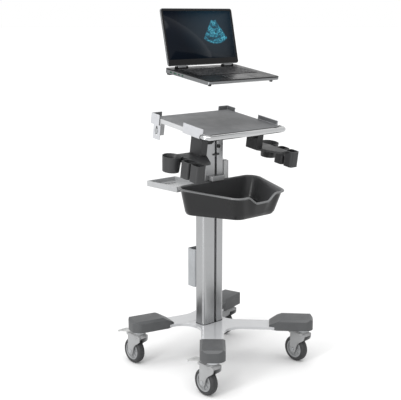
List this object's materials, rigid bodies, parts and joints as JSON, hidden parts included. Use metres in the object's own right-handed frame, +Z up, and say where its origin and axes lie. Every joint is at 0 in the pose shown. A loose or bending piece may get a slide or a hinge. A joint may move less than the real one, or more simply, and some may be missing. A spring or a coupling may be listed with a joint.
{
  "type": "portable ultrasound machine on a trolley",
  "caption": "Laptop ultrasound scanner above a wheeled column trolley with tilting tray, probe holders, basket, side shelf, rear bin and braked swivel casters.",
  "frame": {"origin": "on the floor, at the middle of the whole object's footprint box", "axes": "+Z up, -Y is the side that the user stands on, +X is the user's right"},
  "size_m": [0.5714, 0.5682, 1.3489],
  "materials": {
    "base_paint": "gloss light-grey powder coat",
    "bumper_plastic": "fine-textured dark grey",
    "zinc_steel": "zinc-plated",
    "black_rubber": "matte",
    "column_aluminium": "brushed along its length, anodised",
    "black_plastic": "satin",
    "bin_plastic": "satin blue-grey",
    "box_plastic": "satin grey",
    "frame_paint": "satin light grey",
    "satin_aluminium": "satin",
    "basket_plastic": "semi-gloss charcoal",
    "dark_paint": "satin dark grey",
    "tray_paint": "satin light grey",
    "mat_grey": "matte mid grey",
    "polished_aluminium": "polished",
    "holder_plastic": "satin charcoal",
    "clamp_paint": "satin pale grey",
    "fork_paint": "semi-gloss grey",
    "hub_plastic": "satin light grey",
    "tyre_rubber": "dark grey tread",
    "pedal_plastic": "pale grey",
    "laptop_silver": "bead-blasted, anodised",
    "deck_black": "satin black",
    "key_plastic": "fine-textured black",
    "pad_black": "smooth satin",
    "board_green": "solder mask",
    "screen_glass": "gloss, lit from behind"
  },
  "bodies": {
    "trolley": {"base_plate": "base_paint", "bumpers": "bumper_plastic", "caster_heads": "zinc_steel", "column_bolts": "zinc_steel", "column_gasket": "black_rubber", "column": "column_aluminium", "slot_stop": "black_plastic", "rear_bin": "bin_plastic", "side_box": "box_plastic", "side_frame": "frame_paint", "side_bracket": "satin_aluminium", "basket": "basket_plastic", "basket_clamp": "satin_aluminium", "tilt_bracket": "dark_paint", "tilt_pin": "zinc_steel"},
    "tray": {"tilt_head": "dark_paint", "tray": "tray_paint", "tray_mat": "mat_grey", "handle_bar": "polished_aluminium", "handle_caps": "black_plastic", "left_holder": "holder_plastic", "right_holder": "holder_plastic", "tray_screws": "zinc_steel"},
    "left_knob": {"left_knob": "black_plastic"},
    "right_knob": {"right_knob": "black_plastic"},
    "left_clamp": {"left_clamp": "clamp_paint"},
    "right_clamp": {"right_clamp": "clamp_paint"},
    "left_bracket": {"left_bracket": "clamp_paint"},
    "right_bracket": {"right_bracket": "clamp_paint"},
    "laptop": {"laptop_base": "laptop_silver", "laptop_deck": "deck_black", "laptop_feet": "black_rubber", "mainboard": "board_green", "battery": "black_plastic", "lid_hinges": "deck_black"},
    "keys": {"keys": "key_plastic"},
    "touchpad": {"touchpad": "pad_black"},
    "power_button": {"power_button": "pad_black"},
    "lid": {"lid_shell": "laptop_silver", "display": "screen_glass"},
    "fork_front_left": {"fork_front_left": "fork_paint", "axle_front_left": "zinc_steel"},
    "wheel_front_left": {"hub_front_left": "hub_plastic", "tyre_front_left": "tyre_rubber"},
    "pedal_front_left": {"pedal_front_left": "pedal_plastic"},
    "fork_front_right": {"fork_front_right": "fork_paint", "axle_front_right": "zinc_steel"},
    "wheel_front_right": {"hub_front_right": "hub_plastic", "tyre_front_right": "tyre_rubber"},
    "pedal_front_right": {"pedal_front_right": "pedal_plastic"},
    "fork_rear_left": {"fork_rear_left": "fork_paint", "axle_rear_left": "zinc_steel"},
    "wheel_rear_left": {"hub_rear_left": "hub_plastic", "tyre_rear_left": "tyre_rubber"},
    "pedal_rear_left": {"pedal_rear_left": "pedal_plastic"},
    "fork_rear_right": {"fork_rear_right": "fork_paint", "axle_rear_right": "zinc_steel"},
    "wheel_rear_right": {"hub_rear_right": "hub_plastic", "tyre_rear_right": "tyre_rubber"},
    "pedal_rear_right": {"pedal_rear_right": "pedal_plastic"}
  },
  "joints": [
    {"name": "swivel_front_left", "type": "hinge", "parent": "trolley", "child": "fork_front_left", "pos_m": [-0.24, -0.239, 0.129], "axis": [0, 0, 1], "continuous": true},
    {"name": "wheel_front_left", "type": "hinge", "parent": "fork_front_left", "child": "wheel_front_left", "pos_m": [-0.24, -0.206, 0.05], "axis": [1, 0, 0], "continuous": true},
    {"name": "pedal_front_left", "type": "hinge", "parent": "fork_front_left", "child": "pedal_front_left", "pos_m": [-0.24, -0.189, 0.119], "axis": [1, 0, 0], "range_deg": [-12, 0]},
    {"name": "swivel_front_right", "type": "hinge", "parent": "trolley", "child": "fork_front_right", "pos_m": [0.24, -0.239, 0.129], "axis": [0, 0, 1], "continuous": true},
    {"name": "wheel_front_right", "type": "hinge", "parent": "fork_front_right", "child": "wheel_front_right", "pos_m": [0.24, -0.206, 0.05], "axis": [1, 0, 0], "continuous": true},
    {"name": "pedal_front_right", "type": "hinge", "parent": "fork_front_right", "child": "pedal_front_right", "pos_m": [0.24, -0.189, 0.119], "axis": [1, 0, 0], "range_deg": [-12, 0]},
    {"name": "swivel_rear_left", "type": "hinge", "parent": "trolley", "child": "fork_rear_left", "pos_m": [-0.24, 0.171, 0.129], "axis": [0, 0, 1], "continuous": true},
    {"name": "wheel_rear_left", "type": "hinge", "parent": "fork_rear_left", "child": "wheel_rear_left", "pos_m": [-0.24, 0.204, 0.05], "axis": [1, 0, 0], "continuous": true},
    {"name": "pedal_rear_left", "type": "hinge", "parent": "fork_rear_left", "child": "pedal_rear_left", "pos_m": [-0.24, 0.221, 0.119], "axis": [1, 0, 0], "range_deg": [-12, 0]},
    {"name": "swivel_rear_right", "type": "hinge", "parent": "trolley", "child": "fork_rear_right", "pos_m": [0.24, 0.171, 0.129], "axis": [0, 0, 1], "continuous": true},
    {"name": "wheel_rear_right", "type": "hinge", "parent": "fork_rear_right", "child": "wheel_rear_right", "pos_m": [0.24, 0.204, 0.05], "axis": [1, 0, 0], "continuous": true},
    {"name": "pedal_rear_right", "type": "hinge", "parent": "fork_rear_right", "child": "pedal_rear_right", "pos_m": [0.24, 0.221, 0.119], "axis": [1, 0, 0], "range_deg": [-12, 0]},
    {"name": "tray_tilt", "type": "hinge", "parent": "trolley", "child": "tray", "pos_m": [0, 0.036, 0.9], "axis": [1, 0, 0], "range_deg": [-8.5, 3]},
    {"name": "left_knob_turn", "type": "hinge", "parent": "tray", "child": "left_knob", "pos_m": [-0.128, -0.07573, 0.88987], "axis": [-1, 0, 0], "continuous": true},
    {"name": "left_clamp_slide", "type": "slide", "parent": "tray", "child": "left_clamp", "axis": [-1, 0, 0], "range_m": [0, 0.02]},
    {"name": "left_bracket_slide", "type": "slide", "parent": "tray", "child": "left_bracket", "axis": [0, -0.1478, 0.989], "range_m": [-0.007, 0.007]},
    {"name": "right_knob_turn", "type": "hinge", "parent": "tray", "child": "right_knob", "pos_m": [0.128, -0.07573, 0.88987], "axis": [1, 0, 0], "continuous": true},
    {"name": "right_clamp_slide", "type": "slide", "parent": "tray", "child": "right_clamp", "axis": [1, 0, 0], "range_m": [0, 0.02]},
    {"name": "right_bracket_slide", "type": "slide", "parent": "tray", "child": "right_bracket", "axis": [0, -0.1478, 0.989], "range_m": [-0.007, 0.007]},
    {"name": "laptop_lift", "type": "slide", "parent": "tray", "child": "laptop", "axis": [0, 0, 1], "range_m": [-0.161, 0]},
    {"name": "lid_hinge", "type": "hinge", "parent": "laptop", "child": "lid", "pos_m": [0, 0.06196, 1.14034], "axis": [1, 0, 0], "range_deg": [-25, 110.5]},
    {"name": "keys_press", "type": "slide", "parent": "laptop", "child": "keys", "axis": [0, -0.1478, 0.989], "range_m": [-0.0012, 0], "stiffness_N_per_m": 600, "springref_m": 0.0004},
    {"name": "touchpad_press", "type": "slide", "parent": "laptop", "child": "touchpad", "axis": [0, -0.1478, 0.989], "range_m": [-0.0004, 0], "stiffness_N_per_m": 1500, "springref_m": 0.0004},
    {"name": "power_press", "type": "slide", "parent": "laptop", "child": "power_button", "axis": [0, -0.1478, 0.989], "range_m": [-0.001, 0], "stiffness_N_per_m": 300, "springref_m": 0.0005}
  ]
}
